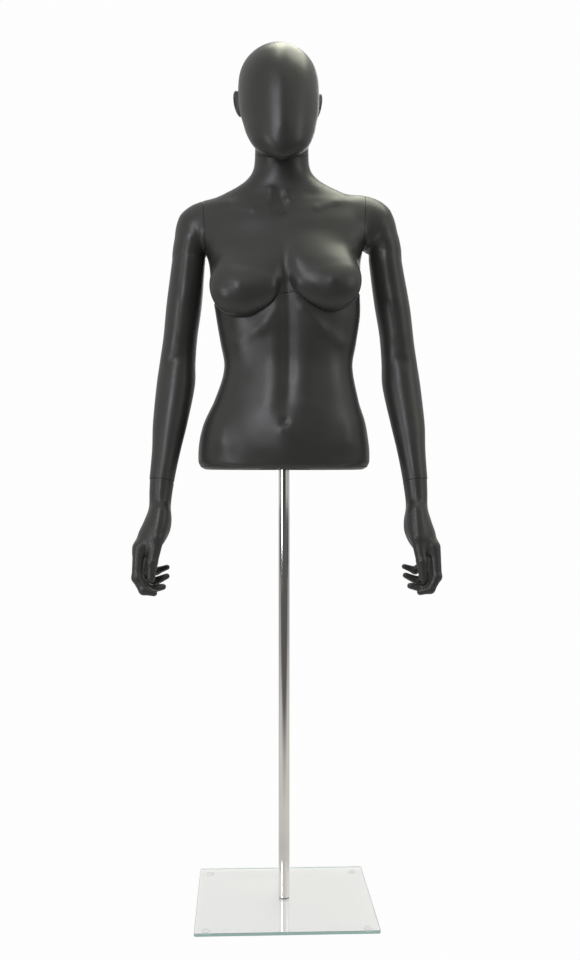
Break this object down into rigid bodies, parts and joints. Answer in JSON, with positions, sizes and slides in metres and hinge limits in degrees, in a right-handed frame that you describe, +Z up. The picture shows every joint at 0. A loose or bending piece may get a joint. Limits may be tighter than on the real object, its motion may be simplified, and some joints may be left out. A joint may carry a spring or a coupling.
{
  "type": "half-body display mannequin",
  "caption": "Female half-body display mannequin with egg head and straight arms, on a chrome pole with a square glass base; torso, head, arms and hands turn, and the height slides.",
  "frame": {"origin": "on the floor under the pole's axis, at the underside of the middle foot", "axes": "+Z up along the pole, the figure faces -Y, and its left arm is on the +X side"},
  "size_m": [0.6262, 0.35, 1.732],
  "materials": {
    "figure_paint": "satin charcoal paint on moulded shell",
    "base_glass": "clear float glass, polished green edges",
    "clear_rubber": "clear soft bumper",
    "black_rubber": "matt",
    "chrome": "polished",
    "steel": "zinc plated",
    "black_plastic": "moulded",
    "board": "raw fibreboard"
  },
  "bodies": {
    "stand": {"glass_base": "base_glass", "bumper_feet": "clear_rubber", "centre_foot": "clear_rubber", "base_bolt": "steel", "pole_gasket": "black_rubber", "pole_nut_plug": "steel", "pole": "chrome", "pole_end_cap": "black_plastic"},
    "collar": {"height_collar": "chrome", "thrust_washer": "black_plastic"},
    "clamp_screw": {"collar_screw": "steel", "collar_knob": "black_plastic"},
    "torso_lower": {"lower_torso": "figure_paint", "bottom_board": "board", "pole_socket": "steel", "socket_screws": "steel", "hip_joint_board": "board", "chest_peg": "black_plastic", "peg_bolt": "steel"},
    "torso_upper": {"upper_torso": "figure_paint", "chest_joint_board": "board", "peg_sleeve": "black_plastic", "left_shoulder_socket": "board", "right_shoulder_socket": "board", "neck_plug": "board", "neck_pin": "steel"},
    "head_unit": {"head": "figure_paint", "head_socket": "board"},
    "arm_left": {"left_arm": "figure_paint", "left_arm_plug": "board", "left_shoulder_hub": "steel", "left_wrist_plug": "board", "left_wrist_pin": "steel"},
    "arm_right": {"right_arm": "figure_paint", "right_arm_plug": "board", "right_shoulder_hub": "steel", "right_wrist_plug": "board", "right_wrist_pin": "steel"},
    "hand_left": {"left_hand": "figure_paint"},
    "hand_right": {"right_hand": "figure_paint"}
  },
  "joints": [
    {"name": "height_slide", "type": "slide", "parent": "stand", "child": "collar", "axis": [0, 0, 1], "range_m": [-0.08, 0.12]},
    {"name": "clamp_screw_turn", "type": "hinge", "parent": "collar", "child": "clamp_screw", "pos_m": [0, 0.02, 0.89], "axis": [0, 1, 0], "range_deg": [0, 720]},
    {"name": "torso_swivel", "type": "hinge", "parent": "collar", "child": "torso_lower", "pos_m": [0, 0, 0.9], "axis": [0, 0, 1], "continuous": true},
    {"name": "chest_lift", "type": "slide", "parent": "torso_lower", "child": "torso_upper", "axis": [-0.0698, 0, 0.9976], "range_m": [0, 0.035]},
    {"name": "head_turn", "type": "hinge", "parent": "torso_upper", "child": "head_unit", "pos_m": [-0.005, -0.01, 1.511], "axis": [0, -0.3746, 0.9272], "range_deg": [-60, 60]},
    {"name": "left_arm_swing", "type": "hinge", "parent": "torso_upper", "child": "arm_left", "pos_m": [0.16, 0.014, 1.3675], "axis": [-0.9982, 0, 0.0593], "range_deg": [-30, 90]},
    {"name": "right_arm_swing", "type": "hinge", "parent": "torso_upper", "child": "arm_right", "pos_m": [-0.16, 0.014, 1.3585], "axis": [-0.9982, 0, -0.0593], "range_deg": [-30, 90]},
    {"name": "left_hand_turn", "type": "hinge", "parent": "arm_left", "child": "hand_left", "pos_m": [0.26351, -0.02007, 0.854], "axis": [0.0991, -0.1742, -0.9797], "range_deg": [-90, 90]},
    {"name": "right_hand_turn", "type": "hinge", "parent": "arm_right", "child": "hand_right", "pos_m": [-0.24452, -0.02007, 0.854], "axis": [-0.1248, -0.1737, -0.9769], "range_deg": [-90, 90]}
  ]
}
